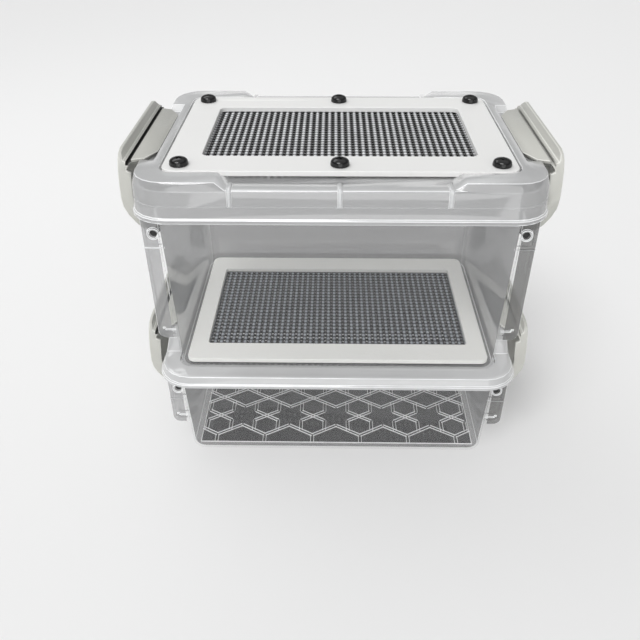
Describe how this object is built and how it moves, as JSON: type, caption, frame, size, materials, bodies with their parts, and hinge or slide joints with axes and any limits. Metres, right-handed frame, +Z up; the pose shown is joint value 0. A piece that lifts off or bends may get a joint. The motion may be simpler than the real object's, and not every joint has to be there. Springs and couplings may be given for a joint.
{
  "type": "worm breeding box",
  "caption": "Two stacked clear plastic tubs with latched lids: a sieve tub with a wire mesh vent in its lid sits on a shallow collecting tub",
  "frame": {"origin": "middle of the lower tub's underside, on the surface that the box stands on", "axes": "+X along the long side to the right, +Y from the front to the back, +Z up"},
  "size_m": [0.254, 0.1676, 0.2165],
  "materials": {
    "clear_plastic": "clear, slightly cloudy, glossy",
    "latch_plastic": "satin grey-beige",
    "white_board": "smooth satin white",
    "woven_wire": "woven wire",
    "black_screw": "glossy black",
    "zinc_nut": "zinc plated"
  },
  "bodies": {
    "lower_box": {"lower_tub": "clear_plastic", "lower_lid": "clear_plastic"},
    "upper_box": {"upper_tub": "clear_plastic", "sieve_mesh": "woven_wire", "sieve_frame": "white_board", "upper_lid": "clear_plastic", "vent_mesh": "woven_wire", "vent_plate": "white_board", "plate_screw_front_left": "black_screw", "plate_screw_front_middle": "black_screw", "plate_screw_front_right": "black_screw", "plate_screw_back_left": "black_screw", "plate_screw_back_middle": "black_screw", "plate_screw_back_right": "black_screw", "screw_nut_front_left": "zinc_nut", "screw_nut_front_middle": "zinc_nut", "screw_nut_front_right": "zinc_nut", "screw_nut_back_left": "zinc_nut", "screw_nut_back_middle": "zinc_nut", "screw_nut_back_right": "zinc_nut"},
    "lower_latch_left_body": {"lower_latch_left": "latch_plastic"},
    "lower_latch_right_body": {"lower_latch_right": "latch_plastic"},
    "upper_latch_left_body": {"upper_latch_left": "latch_plastic"},
    "upper_latch_right_body": {"upper_latch_right": "latch_plastic"}
  },
  "joints": [
    {"name": "upper_box_lift", "type": "slide", "parent": "lower_box", "child": "upper_box", "axis": [0, 0, 1], "range_m": [0, 0.08]},
    {"name": "lower_latch_left_swing", "type": "hinge", "parent": "lower_box", "child": "lower_latch_left_body", "pos_m": [-0.1095, 0, 0.0515], "axis": [0, -1, 0], "range_deg": [0, 105]},
    {"name": "lower_latch_right_swing", "type": "hinge", "parent": "lower_box", "child": "lower_latch_right_body", "pos_m": [0.1095, 0, 0.0515], "axis": [0, 1, 0], "range_deg": [0, 105]},
    {"name": "upper_latch_left_swing", "type": "hinge", "parent": "upper_box", "child": "upper_latch_left_body", "pos_m": [-0.1095, 0, 0.1715], "axis": [0, -1, 0], "range_deg": [0, 105]},
    {"name": "upper_latch_right_swing", "type": "hinge", "parent": "upper_box", "child": "upper_latch_right_body", "pos_m": [0.1095, 0, 0.1715], "axis": [0, 1, 0], "range_deg": [0, 105]}
  ]
}
